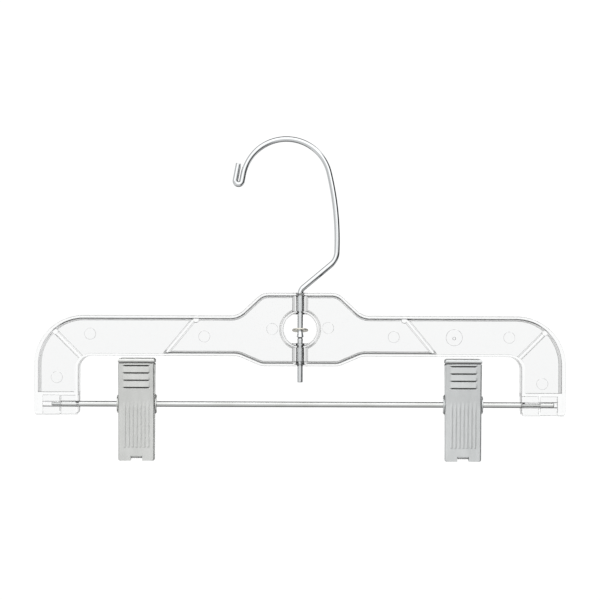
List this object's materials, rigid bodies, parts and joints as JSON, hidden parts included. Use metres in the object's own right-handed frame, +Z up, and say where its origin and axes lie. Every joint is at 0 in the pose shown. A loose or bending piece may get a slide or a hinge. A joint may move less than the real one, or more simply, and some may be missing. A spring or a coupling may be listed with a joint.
{
  "type": "clothes hanger",
  "caption": "Clear plastic skirt and trouser hanger with a swivelling wire hook and two sprung metal clips that slide on a steel rod.",
  "frame": {"origin": "on the hook's swivel axis, at the flat top of the body's crown and in the body's middle plane", "axes": "+Z up along the swivel axis, +X to the right along the clip rod, -Y towards the front of the hanger"},
  "size_m": [0.3048, 0.0164, 0.1862],
  "materials": {
    "clear_plastic": "clear moulded polystyrene, glossy",
    "chrome_wire": "bright chrome plate",
    "yellow_zinc": "dull yellowish zinc plate",
    "zinc_rod": "bright zinc plate",
    "zinc_sheet": "satin zinc plate on pressed sheet",
    "spring_wire": "plain spring steel"
  },
  "bodies": {
    "frame": {"hanger_body": "clear_plastic"},
    "washer": {"retaining_washer": "yellow_zinc"},
    "hook": {"hook_wire": "chrome_wire"},
    "rod": {"clip_rod": "zinc_rod"},
    "left_rear_jaw": {"left_clip_rear_jaw": "zinc_sheet", "left_clip_spring": "spring_wire"},
    "left_front_jaw": {"left_clip_front_jaw": "zinc_sheet"},
    "right_rear_jaw": {"right_clip_rear_jaw": "zinc_sheet", "right_clip_spring": "spring_wire"},
    "right_front_jaw": {"right_clip_front_jaw": "zinc_sheet"}
  },
  "joints": [
    {"name": "hook_lift", "type": "slide", "parent": "frame", "child": "washer", "axis": [0, 0, 1], "range_m": [0, 0.0072]},
    {"name": "hook_swivel", "type": "hinge", "parent": "washer", "child": "hook", "pos_m": [0, 0, -0.0205], "axis": [0, 0, 1], "continuous": true},
    {"name": "rod_spin", "type": "hinge", "parent": "frame", "child": "rod", "pos_m": [0, 0, -0.0642], "axis": [1, 0, 0], "range_deg": [-135, 160]},
    {"name": "left_clip_slide", "type": "slide", "parent": "rod", "child": "left_rear_jaw", "axis": [-1, 0, 0], "range_m": [-0.0475, 0.0175]},
    {"name": "left_jaw_open", "type": "hinge", "parent": "left_rear_jaw", "child": "left_front_jaw", "pos_m": [-0.0935, 0, -0.0642], "axis": [-1, 0, 0], "range_deg": [0, 20], "stiffness_Nm_per_rad": 0.02, "springref_deg": -20.05, "deforming": ["left_clip_spring"]},
    {"name": "right_clip_slide", "type": "slide", "parent": "rod", "child": "right_rear_jaw", "axis": [1, 0, 0], "range_m": [-0.0475, 0.0175]},
    {"name": "right_jaw_open", "type": "hinge", "parent": "right_rear_jaw", "child": "right_front_jaw", "pos_m": [0.0935, 0, -0.0642], "axis": [-1, 0, 0], "range_deg": [0, 20], "stiffness_Nm_per_rad": 0.02, "springref_deg": -20.05, "deforming": ["right_clip_spring"]}
  ]
}
